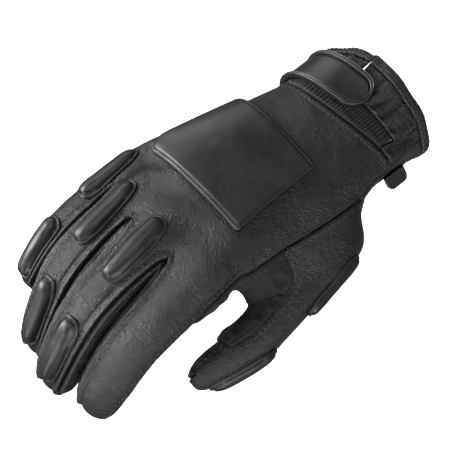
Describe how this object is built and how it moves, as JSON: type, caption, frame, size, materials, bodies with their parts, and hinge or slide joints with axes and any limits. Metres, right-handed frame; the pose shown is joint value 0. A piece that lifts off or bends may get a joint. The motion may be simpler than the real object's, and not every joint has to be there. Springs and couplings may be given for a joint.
{
  "type": "rappel glove",
  "caption": "Right-hand black leather rappel glove with padded knuckles and back, hollow fingers, reinforced palm and thumb crotch, gathered wrist and strap closure.",
  "frame": {"origin": "centre of the cuff's mouth", "axes": "-Y from the mouth towards the fingertips, +Z out of the back of the hand, +X towards the thumb's side"},
  "size_m": [0.1363, 0.2366, 0.0775],
  "materials": {
    "grained_hide": "pebbled grain, slight sheen",
    "smooth_hide": "smooth, satin",
    "suede": "napped, matte",
    "elastic": "gathered, matte"
  },
  "bodies": {
    "root": {"back_panel": "grained_hide", "palm_panel": "grained_hide", "fourchette_index_middle": "grained_hide", "fourchette_middle_ring": "grained_hide", "fourchette_ring_little": "grained_hide", "thumb_back": "grained_hide", "thumb_front": "grained_hide", "cuff": "grained_hide", "cuff_hem": "grained_hide", "pull_tab": "grained_hide", "back_pad": "smooth_hide", "knuckle_pad_middle": "smooth_hide", "knuckle_pad_ring": "smooth_hide", "knuckle_pad_little": "smooth_hide", "finger_pad_middle": "smooth_hide", "finger_pad_ring": "smooth_hide", "finger_pad_little": "smooth_hide", "thumb_pad_joint": "smooth_hide", "thumb_pad_tip": "smooth_hide", "wrist_strap": "smooth_hide", "strap_binding": "smooth_hide", "palm_patch": "suede", "wrist_elastic": "elastic"}
  },
  "joints": []
}
